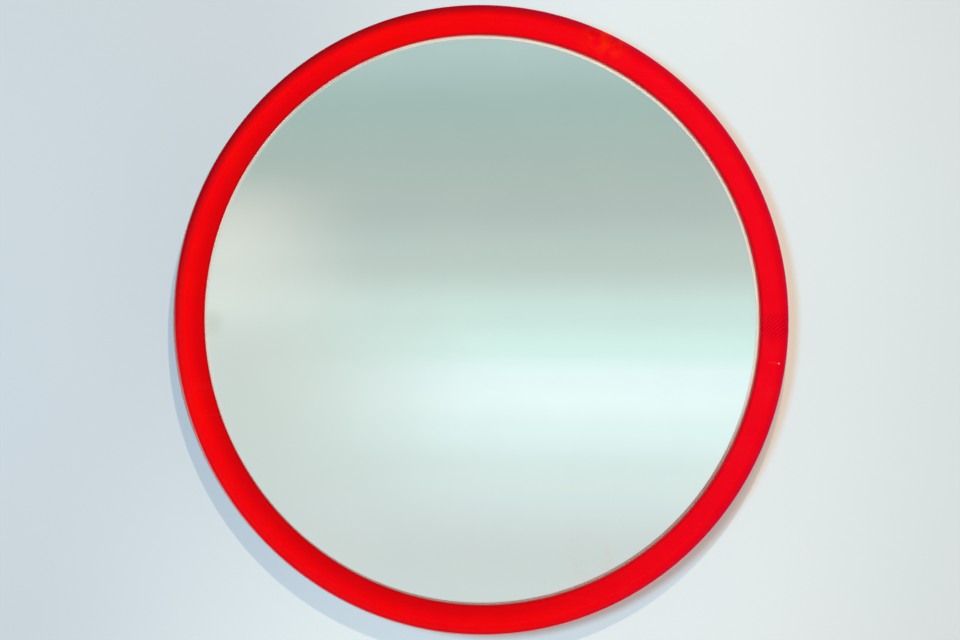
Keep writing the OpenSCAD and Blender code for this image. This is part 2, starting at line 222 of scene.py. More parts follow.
def seal_section():
    """Channel seal: a lip in front of the face, round its edge, and a foot on the cover's flange."""
    show = APERTURE_R - SEAL_SHOW
    inside = FACE_EDGE_R + FIT_GAP
    outline = [
        (show, face_front(show) + FIT_GAP),
        (show, face_front(show) + SEAL_FRONT + FIT_GAP),
        (SEAL_OUTER_R, face_front(SEAL_OUTER_R) + SEAL_FRONT + FIT_GAP),
        (SEAL_OUTER_R, FLANGE_FRONT),
        (APERTURE_R, FLANGE_FRONT),
        (APERTURE_R, face_front(APERTURE_R) - FACE_T - 2 * FIT_GAP),
        (inside, face_front(FACE_EDGE_R) - FACE_T - 2 * FIT_GAP),
        (inside, face_front(FACE_EDGE_R) + FIT_GAP),
    ]
    return soften(outline, [0.1 * MM, 0.35 * MM, 0.3 * MM, 0.3 * MM, 0, 0, 0, 0], 4)


def cover_section():
    """Shallow dish: flat back with two pressed rings, a sloping side and a flange."""
    slope = math.atan((FLANGE_BACK - COVER_BACK) / COVER_RUN)
    corner = COVER_WALL * math.tan(slope / 2)
    outline = [(0, COVER_BACK)]
    radii = [0]
    for r in SWAGE_RADII:
        for offset, depth in ((-SWAGE_W / 2, 0), (-SWAGE_W / 2 + SWAGE_H, SWAGE_H),
                              (SWAGE_W / 2 - SWAGE_H, SWAGE_H), (SWAGE_W / 2, 0)):
            outline.append((r + offset, COVER_BACK - depth))
            radii.append(0.9 * MM)
    outline += [
        (COVER_FLAT_R, COVER_BACK),
        (FLANGE_IN_R, FLANGE_BACK),
        (FLANGE_OUT_R, FLANGE_BACK),
        (FLANGE_OUT_R, FLANGE_FRONT),
        (FLANGE_IN_R - corner, FLANGE_FRONT),
        (COVER_FLAT_R - corner, COVER_BACK + COVER_WALL),
        (0, COVER_BACK + COVER_WALL),
    ]
    radii += [9 * MM, 4 * MM, 0.7 * MM, 0.7 * MM, 4 * MM, 6 * MM, 0]
    return soften(outline, radii, 6)


def face_section():
    """Spherical sheet with a cut edge."""
    rings = 40
    edge_r = FACE_EDGE_R
    front = [(edge_r * i / rings, face_front(edge_r * i / rings)) for i in range(rings + 1)]
    back = [(edge_r * i / rings, face_front(edge_r * i / rings) - FACE_T) for i in range(rings, -1, -2)]
    return front + back


# ---- mesh helpers

def finish_mesh(name, bm):
    """Merges doubles, turns the faces outwards, and makes a smooth object with sharp edges past an angle."""
    bmesh.ops.remove_doubles(bm, verts=bm.verts, dist=MERGE_GAP)
    bmesh.ops.recalc_face_normals(bm, faces=bm.faces)
    mesh = bpy.data.meshes.new(name)
    bm.to_mesh(mesh)
    bm.free()
    mesh.shade_smooth()
    mesh.set_sharp_from_angle(angle=math.radians(SHARP_ANGLE))
    obj = bpy.data.objects.new(name, mesh)
    scene.collection.objects.link(obj)
    return obj


def lathe(bm, section, segments, place):
    """Turns a closed section of (radius, height) points; place maps (x, y, height) to a position."""
    turns = [2 * math.pi * k / segments for k in range(segments)]
    rings = []
    for r, h in section:
        if r < 1e-7:
            rings.append([bm.verts.new(place(0, 0, h))] * segments)
        else:
            rings.append([bm.verts.new(place(r * math.cos(a), r * math.sin(a), h)) for a in turns])
    for lower, upper in zip(rings, rings[1:] + rings[:1]):
        for k in range(segments):
            corners = [lower[k], lower[k - 1], upper[k - 1], upper[k]]
            unique = list(dict.fromkeys(corners))
            if len(unique) > 2:
                bm.faces.new(unique)


def on_wall(x, y, depth):
    """Position of a place on a piece that faces the wall, at a depth."""
    return (x, -depth, y)


def upright(x, y, height):
    """Position in a pattern that is drawn standing on z = 0."""
    return (x, y, height)


def turned_piece(name, section, segments, place=on_wall):
    """Object made by turning one section."""
    bm = bmesh.new()
    lathe(bm, section, segments, place)
    return finish_mesh(name, bm)


def cut_away(obj, cutter, sharp, use_self=False):
    """Mesh of an object with the cutter taken out of it; the cutter is removed."""
    cut = obj.modifiers.new("cut", "BOOLEAN")
    cut.operation = "DIFFERENCE"
    cut.solver = "EXACT"
    cut.use_self = use_self
    cut.object = cutter
    shape = bpy.data.meshes.new_from_object(obj.evaluated_get(bpy.context.evaluated_depsgraph_get()))
    obj.modifiers.remove(cut)
    bpy.data.objects.remove(cutter)
    shape.set_sharp_from_angle(angle=math.radians(sharp))
    return shape


def hexagon_radius(angle, across_corners_r):
    """Distance from the centre to a hexagon's side, at an angle from one corner."""
    within = angle % (math.pi / 3) - math.pi / 6
    return across_corners_r * math.cos(math.pi / 6) / math.cos(within)


def level(r, h):
    """Plain round ring of points at one height."""
    return [(r, h)] * HEX_SEGMENTS


def hex_rings(across_corners_r, low, high, chamfer_low, chamfer_high):
    """Rings of a hexagon head or nut, its corners chamfered by a 30 degree cone."""
    flat_r = 0.94 * across_corners_r * math.cos(math.pi / 6)
    fall = math.tan(math.radians(30))
    sides = [hexagon_radius(2 * math.pi * k / HEX_SEGMENTS, across_corners_r) for k in range(HEX_SEGMENTS)]
    drop = [(s - flat_r) * fall for s in sides]
    rings = []
    if chamfer_low:
        rings.append(level(flat_r, low))
    rings.append([(s, low + (d if chamfer_low else 0)) for s, d in zip(sides, drop)])
    rings.append([(s, high - (d if chamfer_high else 0)) for s, d in zip(sides, drop)])
    if chamfer_high:
        rings.append(level(flat_r, high))
    return rings


def thread_rings(shank_r, low, high, pitch):
    """Rings of a screw thread between two heights, with a lead-in at the low end."""
    depth = 0.55 * pitch
    count = max(4, round((high - low) / (pitch / 6)))
    rings = []
    for i in range(count + 1):
        h = low + (high - low) * i / count
        lead = min(1, (h - low) / pitch)
        ring = []
        for k in range(HEX_SEGMENTS):
            phase = (h / pitch - k / HEX_SEGMENTS) % 1
            crest = 1 - abs(2 * phase - 1)
            ring.append((shank_r - depth * (1 - crest) - (1 - lead) * 0.8 * depth * crest, h))
        rings.append(ring)
    return rings


def stack_rings(bm, rings, place, close_loop=False):
    """Joins rings of (radius, height) points, with a cap at each open end."""
    rows = []
    for ring in rings:
        row = []
        for k, (r, h) in enumerate(ring):
            a = 2 * math.pi * k / len(ring)
            row.append(bm.verts.new(place(r * math.cos(a), r * math.sin(a), h)))
        rows.append(row)
    pairs = list(zip(rows, rows[1:]))
    if close_loop:
        pairs.append((rows[-1], rows[0]))
    for lower, upper in pairs:
        for k in range(len(lower)):
            bm.faces.new([lower[k - 1], lower[k], upper[k], upper[k - 1]])
    if not close_loop:
        bm.faces.new(rows[0])
        bm.faces.new(rows[-1])


def bolt_into(bm, place, shank_r, length, pitch, threaded):
    """Hexagon bolt: its head stands on z = 0 and its shank hangs below, threaded at the end."""
    corner_r = HEX_CORNER_SHARE * shank_r
    head_h = 1.28 * shank_r
    collar_r = 0.9 * corner_r * math.cos(math.pi / 6)
    dish_rim_r = 0.62 * corner_r
    dish_r = 0.58 * corner_r
    dish_depth = 0.04 * shank_r
    rings = thread_rings(shank_r, -length, -length + threaded, pitch)
    rings.append(level(shank_r, -length + threaded + pitch / 2))
    rings.append(level(shank_r, 0.0))
    rings.append(level(collar_r, 0.0))
    rings += hex_rings(corner_r, 0.0, head_h, False, True)
    rings.append(level(dish_rim_r, head_h))
    rings.append(level(dish_r, head_h - dish_depth))
    stack_rings(bm, rings, place)


def nut_into(bm, place, shank_r):
    """Locking nut: a chamfered hexagon with a rounded collar over its nylon ring."""
    hex_h = 1.5 * shank_r
    top = 2 * shank_r
    collar_r = 1.55 * shank_r
    collar_round = 0.3 * shank_r
    bore = shank_r + FIT_GAP
    lead = 0.1 * shank_r
    rings = hex_rings(HEX_CORNER_SHARE * shank_r, 0.0, hex_h, True, True)
    rings.append(level(collar_r, hex_h))
    for r, h in arc((collar_r - collar_round, top - collar_round), collar_round, 0, math.pi / 2, 5):
        rings.append(level(r, h))
    rings.append(level(bore + 0.12 * shank_r, top))
    rings.append(level(bore, top - lead))
    rings.append(level(bore, lead))
    rings.append(level(bore + lead, 0.0))
    stack_rings(bm, rings, place, close_loop=True)


# ---- nodes and shader groups

def new_group(name, tree_kind, inputs, outputs):
    """Node group with named sockets, and its start and end; inputs are (name, type, default)."""
    group = bpy.data.node_groups.new(name, tree_kind)
    for label, kind, default in inputs:
        socket = group.interface.new_socket(name=label, in_out="INPUT", socket_type="NodeSocket" + kind)
        if default is not None:
            socket.default_value = default
    for label, kind in outputs:
        group.interface.new_socket(name=label, in_out="OUTPUT", socket_type="NodeSocket" + kind)
    return group, group.nodes.new("NodeGroupInput").outputs, group.nodes.new("NodeGroupOutput").inputs


def fill(tree, socket, value):
    """Links a socket from another one, or sets its value; a colour may leave out its alpha."""
    if isinstance(value, bpy.types.NodeSocket):
        tree.links.new(value, socket)
    elif socket.type == "RGBA":
        socket.default_value = (*value[:3], 1.0)
    else:
        socket.default_value = value


def node(tree, kind, **settings):
    """Adds a node; settings named like sockets (with _ for spaces) fill them, others set its properties."""
    made = tree.nodes.new(kind if kind.startswith(("Geometry", "Function")) else "ShaderNode" + kind)
    for key, value in settings.items():
        label = key.replace("_", " ")
        if label in made.inputs:
            fill(tree, made.inputs[label], value)
        else:
            setattr(made, key, value)
    return made


def link(tree, source, target):
    """Joins an output to an input."""
    tree.links.new(source, target)


def math_node(tree, operation, a, b=0.5, clamp=False):
    """Result of a sum on sockets or numbers."""
    made = node(tree, "Math", operation=operation, use_clamp=clamp)
    fill(tree, made.inputs[0], a)
    fill(tree, made.inputs[1], b)
    return made.outputs["Value"]


def times(tree, a, b):
    """Product of two sockets or numbers."""
    return math_node(tree, "MULTIPLY", a, b)


def plus(tree, a, b):
    """Sum of two sockets or numbers."""
    return math_node(tree, "ADD", a, b)


def minus(tree, a, b):
    """The first socket or number less the second."""
    return math_node(tree, "SUBTRACT", a, b)


def flat_distance(tree, x, z):
    """Length of (x, z)."""
    return math_node(tree, "SQRT", plus(tree, times(tree, x, x), times(tree, z, z)))


def spread(tree, value, low, high, out_low=0.0, out_high=1.0):
    """Maps a value's range onto another, clamped, with smooth ends."""
    made = node(tree, "MapRange", interpolation_type="SMOOTHSTEP", Value=value, From_Min=low, From_Max=high,
                To_Min=out_low, To_Max=out_high)
    return made.outputs["Result"]


def mix_colour(tree, factor, first, second, blend="MIX"):
    """Colour between two, given as sockets or as red, green and blue."""
    made = node(tree, "Mix", data_type="RGBA", blend_type=blend)
    for socket, value in zip((made.inputs[0], made.inputs[6], made.inputs[7]), (factor, first, second)):
        fill(tree, socket, value)
    return made.outputs[2]


def mix_shaders(tree, factor, first, second):
    """Shader between two."""
    made = node(tree, "MixShader", Fac=factor)
    fill(tree, made.inputs[1], first)
    fill(tree, made.inputs[2], second)
    return made.outputs["Shader"]


def noise(tree, vector, scale, detail=2.0, roughness=0.5):
    """Value of a noise texture."""
    made = node(tree, "TexNoise", Vector=vector, Scale=scale, Detail=detail, Roughness=roughness)
    return made.outputs["Fac"]


def make_mottle_group():
    """Blends two colours in soft uneven patches."""
    group, start, end = new_group("Soft patches", "ShaderNodeTree", [
        ("Vector", "Vector", None), ("Scale", "Float", 8.0), ("Contrast", "Float", 0.2),
        ("Colour", "Color", (0.5, 0.5, 0.5, 1)), ("Patch colour", "Color", (0.6, 0.6, 0.6, 1)),
    ], [("Colour", "Color"), ("Mask", "Float")])
    low = minus(group, 0.5, start["Contrast"])
    high = plus(group, 0.5, start["Contrast"])
    mask = spread(group, noise(group, start["Vector"], start["Scale"], 3.0, 0.55), low, high)
    colour = mix_colour(group, mask, start["Colour"], start["Patch colour"])
    link(group, colour, end["Colour"])
    link(group, mask, end["Mask"])
    return group


def make_scratch_group():
    """Fine hairline scratches in two crossing directions."""
    group, start, end = new_group("Hairline scratches", "ShaderNodeTree", [
        ("Vector", "Vector", None), ("Density", "Float", 60.0), ("Amount", "Float", 0.5),
    ], [("Mask", "Float")])
    masks = []
    for turn, stretch in ((0.5, 0.04), (2.1, 0.06)):
        aimed = node(group, "Mapping", Vector=start["Vector"], Rotation=(0.2, turn, 0.1),
                     Scale=(stretch, 1.0, 1.0))
        ridge = noise(group, aimed.outputs["Vector"], start["Density"], 4.0, 0.7)
        ridge = math_node(group, "ABSOLUTE", minus(group, ridge, 0.5))
        masks.append(spread(group, ridge, 0.0, 0.012, 1.0, 0.0))
    both = math_node(group, "MAXIMUM", masks[0], masks[1])
    gate = spread(group, noise(group, start["Vector"], 14.0, 1.0), 0.5, 0.7)
    link(group, times(group, times(group, both, gate), start["Amount"]), end["Mask"])
    return group


def make_dust_group():
    """Dust that gathers on upward faces, in a broken film with specks."""
    group, start, end = new_group("Settled dust", "ShaderNodeTree", [
        ("Vector", "Vector", None), ("Normal", "Vector", None), ("Amount", "Float", 0.3),
        ("Speck scale", "Float", 500.0),
    ], [("Mask", "Float")])
    facing = node(group, "SeparateXYZ", Vector=start["Normal"])
    upward = spread(group, facing.outputs["Z"], -0.1, 0.9, 0.25, 1.0)
    film = spread(group, noise(group, start["Vector"], 35.0, 5.0, 0.6), 0.4, 0.75)
    specks = node(group, "TexVoronoi", feature="F1", Vector=start["Vector"], Scale=start["Speck scale"])
    speck_mask = spread(group, specks.outputs["Distance"], 0.05, 0.16, 1.0, 0.0)
    total = times(group, math_node(group, "MAXIMUM", film, times(group, speck_mask, 0.8)), upward)
    link(group, math_node(group, "MULTIPLY", total, start["Amount"], clamp=True), end["Mask"])
    return group


def make_grain_group():
    """Height of a moulded or cast surface: fine grain over slow waves."""
    group, start, end = new_group("Surface grain", "ShaderNodeTree", [
        ("Vector", "Vector", None), ("Grain scale", "Float", 900.0), ("Wave scale", "Float", 30.0),
        ("Wave share", "Float", 0.3),
    ], [("Height", "Float")])
    fine = noise(group, start["Vector"], start["Grain scale"], 3.0, 0.6)
    slow = noise(group, start["Vector"], start["Wave scale"], 1.0, 0.4)
    link(group, plus(group, fine, times(group, slow, start["Wave share"])), end["Height"])
    return group


MOTTLE = make_mottle_group()
SCRATCHES = make_scratch_group()
DUST = make_dust_group()
GRAIN = make_grain_group()


# ---- materials

class Finish:
    """One material: its Principled shader, Object coordinates and the shared effects."""

    def __init__(self, name, **principled):
        """Starts a material with its shader's fixed settings."""
        self.material = bpy.data.materials.new(name)
        self.material.use_nodes = True
        self.tree = self.material.node_tree
        self.tree.nodes.clear()
        self.shader = node(self.tree, "BsdfPrincipled", **principled)
        node(self.tree, "OutputMaterial", Surface=self.shader.outputs["BSDF"])
        self.place = node(self.tree, "TexCoord").outputs["Object"]
        self.normal = node(self.tree, "NewGeometry").outputs["Normal"]

    def group(self, group, **values):
        """Adds a shared effect on this object's coordinates, and gives its outputs."""
        made = node(self.tree, "Group", node_tree=group, Vector=self.place, **values)
        if "Normal" in made.inputs:
            link(self.tree, self.normal, made.inputs["Normal"])
        return made.outputs

    def feed(self, source, socket):
        """Joins an output to one of the shader's inputs."""
        link(self.tree, source, self.shader.inputs[socket])

    def bump(self, height, strength, distance):
        """Raises the surface by a height."""
        made = node(self.tree, "Bump", Strength=strength, Distance=distance, Height=height)
        self.feed(made.outputs["Normal"], "Normal")

    def split(self, source=None):
        """X, Y and Z of a place, by default the place on the object."""
        return node(self.tree, "SeparateXYZ", Vector=source or self.place).outputs


def near_point(finish, x, z, radius, soft):
    """Mask that is 1 within radius of a place on the front, in x and z."""
    axes = finish.split()
    distance = flat_distance(finish.tree, minus(finish.tree, axes["X"], x), minus(finish.tree, axes["Z"], z))
    return spread(finish.tree, distance, radius, radius + soft, 1.0, 0.0)


def towards(tree, axes, from_axis, x, z):
    """How far a place on the ring lies towards a direction: 1 there, -1 opposite."""
    along = plus(tree, times(tree, axes["X"], x), times(tree, axes["Z"], z))
    return math_node(tree, "DIVIDE", along, from_axis)


def rim_pigment_and_side_tint(finish, axes):
    """Red in uneven patches, with drawn-out streaks and a painted crimson tint of light to the right; also
    the patches' mask.
    """
    tree = finish.tree
    patches = finish.group(MOTTLE, Scale=7.0, Contrast=0.16, Colour=(0.92, 0.0006, 0.004),
                           Patch_colour=(0.95, 0.0018, 0.002))
    # Painted light: a crimson tint towards the right stands in for the light on that side.
    crimson = spread(tree, axes["X"], -0.05, 0.3, 0.0, 0.55)
    colour = mix_colour(tree, crimson, patches["Colour"], (0.92, 0.0005, 0.02))
    drawn_out = node(tree, "Mapping", Vector=finish.place, Scale=(1.0, 22.0, 1.0)).outputs["Vector"]
    streaks = spread(tree, noise(tree, drawn_out, 16.0, 4.0, 0.6), 0.35, 0.75, 0.0, 0.22)
    return mix_colour(tree, streaks, colour, (0.8, 0.0005, 0.006)), patches["Mask"]


def rim_painted_light(finish, axes, colour):
    """Painted light round the ring: a plum reflection tint on the outer edge to the right, painted shade on
    the lip at the upper left and on the inner floor, a painted warm highlight near the top, and a painted
    highlight along the lower outer edge.
    """
    tree = finish.tree
    from_axis = flat_distance(tree, axes["X"], axes["Z"])

    # Painted reflection: a plum tint on the outer edge, strongest to the right.
    right = towards(tree, axes, from_axis, 0.97, 0.24)
    plum = times(tree, spread(tree, from_axis, RIM_R - 5 * MM, RIM_R - 2 * MM),
                 spread(tree, right, -0.2, 0.6, 0.1, 0.75))
    colour = mix_colour(tree, plum, colour, (0.72, 0.003, 0.055))

    # Painted shade: the outer lip darker, most at the upper left and a little all round.
    upper_left = towards(tree, axes, from_axis, -0.6, 0.8)
    lip = times(tree, spread(tree, from_axis, RIM_R - 9 * MM, RIM_R - 3 * MM),
                spread(tree, upper_left, 0.3, 1.0, 0.02, 0.58))
    lip = plus(tree, lip, spread(tree, from_axis, RIM_R - 4 * MM, RIM_R - 1.5 * MM, 0.0, 0.16))
    colour = mix_colour(tree, lip, colour, (0.16, 0.0003, 0.004))

    # Painted shade: the inner floor darker towards the left, and a darker band round the inner edge.
    left = towards(tree, axes, from_axis, -0.94, -0.34)
    inner = times(tree, spread(tree, from_axis, APERTURE_R + 5 * MM, APERTURE_R + 16 * MM, 1.0, 0.0),
                  times(tree, spread(tree, left, -0.4, 0.7), 0.24))
    inner = plus(tree, inner, spread(tree, from_axis, APERTURE_R + MM, APERTURE_R + 3.5 * MM, 0.25, 0.0))
    colour = mix_colour(tree, inner, colour, (0.2, 0.0003, 0.004))

    # Painted highlight: a warm orange patch near the top of the ring, a little right of centre.
    warm_highlight = times(tree, near_point(finish, 112 * MM, 268 * MM, 2 * MM, 30 * MM),
                   spread(tree, noise(tree, finish.place, 90.0, 3.0), 0.4, 0.62))
    colour = mix_colour(tree, warm_highlight, colour, (0.95, 0.016, 0.002))

    # Painted highlight: a pale pink line along the outer edge, on the lower part of the ring.
    edge_highlight = times(tree, spread(tree, from_axis, RIM_R - 1.3 * MM, RIM_R - 0.6 * MM),
                 spread(tree, axes["Y"], -RIM_FRONT + 3 * MM, -RIM_FRONT + 2 * MM))
    edge_highlight = times(tree, edge_highlight, spread(tree, axes["Z"], 0.05, -0.1, 0.0, 0.85))
    return mix_colour(tree, edge_highlight, colour, (0.93, 0.5, 0.55))


def rim_seam(finish):
    """Masks of the butt seam across the ring and of the chip at its end."""
    tree = finish.tree
    along = node(tree, "Mapping", Vector=finish.place, Rotation=(0.0, SEAM_ANGLE, 0.0))
    axes = finish.split(along.outputs["Vector"])
    line = spread(tree, math_node(tree, "ABSOLUTE", axes["Z"]), 0.12 * MM, 0.4 * MM, 1.0, 0.0)
    reach = times(tree, spread(tree, axes["X"], SEAM_START_R, SEAM_START_R + MM),
                  spread(tree, axes["X"], SEAM_END_R, SEAM_END_R + MM, 1.0, 0.0))
    chip = near_point(finish, SEAM_END_R * math.cos(SEAM_ANGLE), SEAM_END_R * math.sin(SEAM_ANGLE),
                      0.4 * MM, 0.4 * MM)
    return times(tree, line, reach), chip


def rim_scuffs(finish):
    """Mask of the hatched scuffs just above the seam."""
    tree = finish.tree
    zone = near_point(finish, 286 * MM, -7 * MM, 9 * MM, 10 * MM)
    aimed = node(tree, "Mapping", Vector=finish.place, Rotation=(0.0, math.radians(-50), 0.0))
    hatch = node(tree, "TexWave", Vector=aimed.outputs["Vector"], Scale=105.0, Distortion=1.0,
                 bands_direction="X")
    return times(tree, times(tree, spread(tree, hatch.outputs["Fac"], 0.5, 0.95), zone), 0.6)


def red_rim_finish():
    """Glossy moulded red: uneven pigment, a butt seam with a chip, and hatched scuffs beside it, with painted
    tint, shade and highlights round the ring.
    """
    finish = Finish("red_rim", IOR=1.47, Specular_IOR_Level=0.5, Specular_Tint=(1.0, 0.05, 0.08))
    tree = finish.tree
    axes = finish.split()
    colour, patches = rim_pigment_and_side_tint(finish, axes)
    # Painted light: tint, shade and highlights round the ring's edges.
    colour = rim_painted_light(finish, axes, colour)
    seam, chip = rim_seam(finish)
    colour = mix_colour(tree, times(tree, seam, 0.3), colour, (0.95, 0.12, 0.14))
    colour = mix_colour(tree, chip, colour, (0.9, 0.62, 0.6))
    scuffs = rim_scuffs(finish)
    colour = mix_colour(tree, scuffs, colour, (0.4, 0.0005, 0.02))
    scratches = finish.group(SCRATCHES, Density=26.0, Amount=0.5)["Mask"]
    colour = mix_colour(tree, times(tree, scratches, 0.3), colour, (0.95, 0.02, 0.03))
    dust = finish.group(DUST, Amount=0.008, Speck_scale=320.0)["Mask"]
    finish.feed(mix_colour(tree, dust, colour, (0.75, 0.45, 0.42)), "Base Color")

    rough = plus(tree, plus(tree, 0.26, times(tree, patches, 0.06)), times(tree, scratches, 0.2))
    finish.feed(plus(tree, rough, scuffs), "Roughness")
    height = finish.group(GRAIN, Grain_scale=420.0, Wave_scale=26.0, Wave_share=1.2)["Height"]
    height = minus(tree, minus(tree, height, times(tree, seam, 1.5)), times(tree, chip, 3.0))
    finish.bump(height, 0.25, 0.12 * MM)
    return finish.material


def mirror_finish():
    """Silvered acrylic: hazier near the seal, with smears, tan and pink blooms, dust and a pale edge band,
    which fades to the left and at the bottom in painted shade.
    """
    finish = Finish("mirror_acrylic")
    tree = finish.tree
    smears = finish.group(MOTTLE, Scale=9.0, Contrast=0.25, Colour=(0.93, 0.95, 0.94),
                          Patch_colour=(0.905, 0.93, 0.925))
    tan = times(tree, near_point(finish, -266 * MM, -4 * MM, 2 * MM, 15 * MM), 0.4)
    colour = mix_colour(tree, tan, smears["Colour"], (0.78, 0.72, 0.62))
    pink = times(tree, near_point(finish, 100 * MM, -228 * MM, 6 * MM, 34 * MM),
                 spread(tree, noise(tree, finish.place, 40.0, 3.0), 0.35, 0.65))
    colour = mix_colour(tree, times(tree, pink, 0.55), colour, (0.97, 0.86, 0.82))
    dust = finish.group(DUST, Amount=0.1, Speck_scale=260.0)["Mask"]
    colour = mix_colour(tree, times(tree, dust, 0.5), colour, (0.8, 0.8, 0.78))

    axes = finish.split()
    from_axis = flat_distance(tree, axes["X"], axes["Z"])
    # Painted shade: the pale edge band is faded towards the left and towards the bottom.
    edge = times(tree, spread(tree, from_axis, APERTURE_R - 3.4 * MM, APERTURE_R - 2.4 * MM),
                 spread(tree, axes["X"], -0.2, 0.1, 0.3, 1.0))
    edge = times(tree, edge, spread(tree, axes["Z"], -0.16, -0.03, 0.2, 1.0))
    finish.feed(mix_colour(tree, edge, colour, (0.93, 0.93, 0.9)), "Base Color")
    finish.feed(minus(tree, 1.0, times(tree, edge, 0.9)), "Metallic")

    rough = plus(tree, spread(tree, from_axis, APERTURE_R - 14 * MM, APERTURE_R, 0.0, 0.05),
                 times(tree, smears["Mask"], 0.02))
    rough = plus(tree, plus(tree, rough, times(tree, dust, 0.3)), times(tree, edge, 0.5))
    finish.feed(plus(tree, rough, 0.035), "Roughness")
    finish.bump(noise(tree, finish.place, 9.0, 1.0), 0.05, 0.4 * MM)
    return finish.material


def seal_finish():
    """Pale rubber, darker where grime has gathered, and darker round the lower part as painted shade."""
    finish = Finish("seal_rubber", IOR=1.5)
    tree = finish.tree
    grime = finish.group(MOTTLE, Scale=16.0, Contrast=0.14, Colour=(0.95, 0.93, 0.9),
                         Patch_colour=(0.74, 0.66, 0.62))
    # Painted shade: the lower part of the seal is darker.
    low = spread(tree, finish.split()["Z"], -0.03, -0.16, 0.0, 0.85)
    finish.feed(mix_colour(tree, low, grime["Colour"], (0.34, 0.28, 0.26)), "Base Color")
    finish.feed(plus(tree, 0.5, times(tree, grime["Mask"], 0.25)), "Roughness")
    finish.bump(finish.group(GRAIN, Grain_scale=1500.0)["Height"], 0.3, 0.08 * MM)
    return finish.material


def plastic_finish(name, colour, patch, roughness, grain_scale, dust_amount):
    """Textured moulded plastic or rubber with dust in its grain and a few hairlines."""
    finish = Finish(name, IOR=1.5)
    tree = finish.tree
    body = finish.group(MOTTLE, Scale=12.0, Contrast=0.3, Colour=colour, Patch_colour=patch)["Colour"]
    dust = finish.group(DUST, Amount=dust_amount, Speck_scale=700.0)["Mask"]
    scratches = finish.group(SCRATCHES, Density=75.0, Amount=0.16)["Mask"]
    mixed = mix_colour(tree, dust, body, (0.5, 0.48, 0.44))
    mixed = mix_colour(tree, times(tree, scratches, 0.3), mixed, (0.4, 0.4, 0.4))
    finish.feed(mixed, "Base Color")
    finish.feed(plus(tree, roughness, times(tree, dust, 0.3)), "Roughness")
    grain = finish.group(GRAIN, Grain_scale=grain_scale, Wave_scale=18.0, Wave_share=0.8)["Height"]
    finish.bump(grain, 0.35, 0.2 * MM)
    return finish.material


def steel_finish(name, bright, dull, roughness, spangle_scale, stain_amount, grain_strength):
    """Coated steel: crystal spangle or fine plating, dull stains and hairlines."""
    finish = Finish(name)
    tree = finish.tree
    cells = node(tree, "TexVoronoi", feature="F1", Vector=finish.place, Scale=spangle_scale)
    tone = finish.split(cells.outputs["Color"])["X"]
    stain = times(tree, finish.group(MOTTLE, Scale=30.0, Contrast=0.12)["Mask"], stain_amount)
    colour = mix_colour(tree, stain, mix_colour(tree, tone, bright, dull), (0.62, 0.62, 0.6))
    finish.feed(colour, "Base Color")
    scratches = finish.group(SCRATCHES, Density=90.0, Amount=0.6)["Mask"]
    rough = plus(tree, plus(tree, roughness, times(tree, tone, 0.12)), times(tree, stain, 0.3))
    finish.feed(minus(tree, rough, times(tree, scratches, 0.12)), "Roughness")
    finish.feed(minus(tree, 1.0, times(tree, stain, 0.6)), "Metallic")
    grain = finish.group(GRAIN, Grain_scale=700.0, Wave_scale=60.0, Wave_share=1.0)["Height"]
    finish.bump(grain, grain_strength, 0.15 * MM)
    return finish.material


# Colour, patch colour, roughness, grain scale and dust
PLASTICS = {
    "cover_plastic": ((0.035, 0.037, 0.04), (0.045, 0.046, 0.048), 0.5, 1100.0, 0.18),
    "nylon_bush": ((0.8, 0.77, 0.68), (0.72, 0.69, 0.6), 0.42, 1600.0, 0.1),
    "pad_rubber": ((0.018, 0.018, 0.018), (0.035, 0.034, 0.033), 0.7, 1400.0, 0.3),
}

# Bright tone, dull tone, roughness, spangle scale, stains and grain
STEELS = {
    "galvanised": ((0.66, 0.68, 0.7), (0.44, 0.46, 0.49), 0.34, 130.0, 0.35, 0.2),
    "zinc_fastener": ((0.78, 0.77, 0.72), (0.64, 0.64, 0.62), 0.24, 600.0, 0.2, 0.12),
    "spring_steel": ((0.2, 0.19, 0.19), (0.12, 0.115, 0.12), 0.36, 900.0, 0.1, 0.2),
    "cast_knuckle": ((0.5, 0.51, 0.52), (0.36, 0.37, 0.39), 0.46, 260.0, 0.45, 0.9),
}

MATERIALS = {"red_rim": red_rim_finish(), "mirror_acrylic": mirror_finish(), "seal_rubber": seal_finish()}
MATERIALS.update({name: plastic_finish(name, *values) for name, values in PLASTICS.items()})
MATERIALS.update({name: steel_finish(name, *values) for name, values in STEELS.items()})

SLOT_OF = {row["node"]: row["material_slot"] for row in frame["record"]["subparts"]}
BODY_OF = {name: body for body, names in frame["record"]["behaviour"]["bodies"].items() for name in names}


def dress(obj, slot_name):
    """Gives an object the finish of a material slot."""
    obj.data.materials.clear()
    obj.data.materials.append(MATERIALS[slot_name])


def stand_for(obj, node_name):
    """A finished piece takes a CAD node's finish and body, and the CAD node is hidden."""
    dress(obj, SLOT_OF[node_name])
    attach(obj, BODY_OF[node_name])
    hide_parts(node_name)


# ---- turned pieces of the head

stand_for(turned_piece("rim", rim_section(), RIM_SEGMENTS), "rim_frame")
stand_for(turned_piece("face", face_section(), FACE_SEGMENTS), "mirror_face")
stand_for(turned_piece("seal", seal_section(), SEAL_SEGMENTS), "edge_seal")


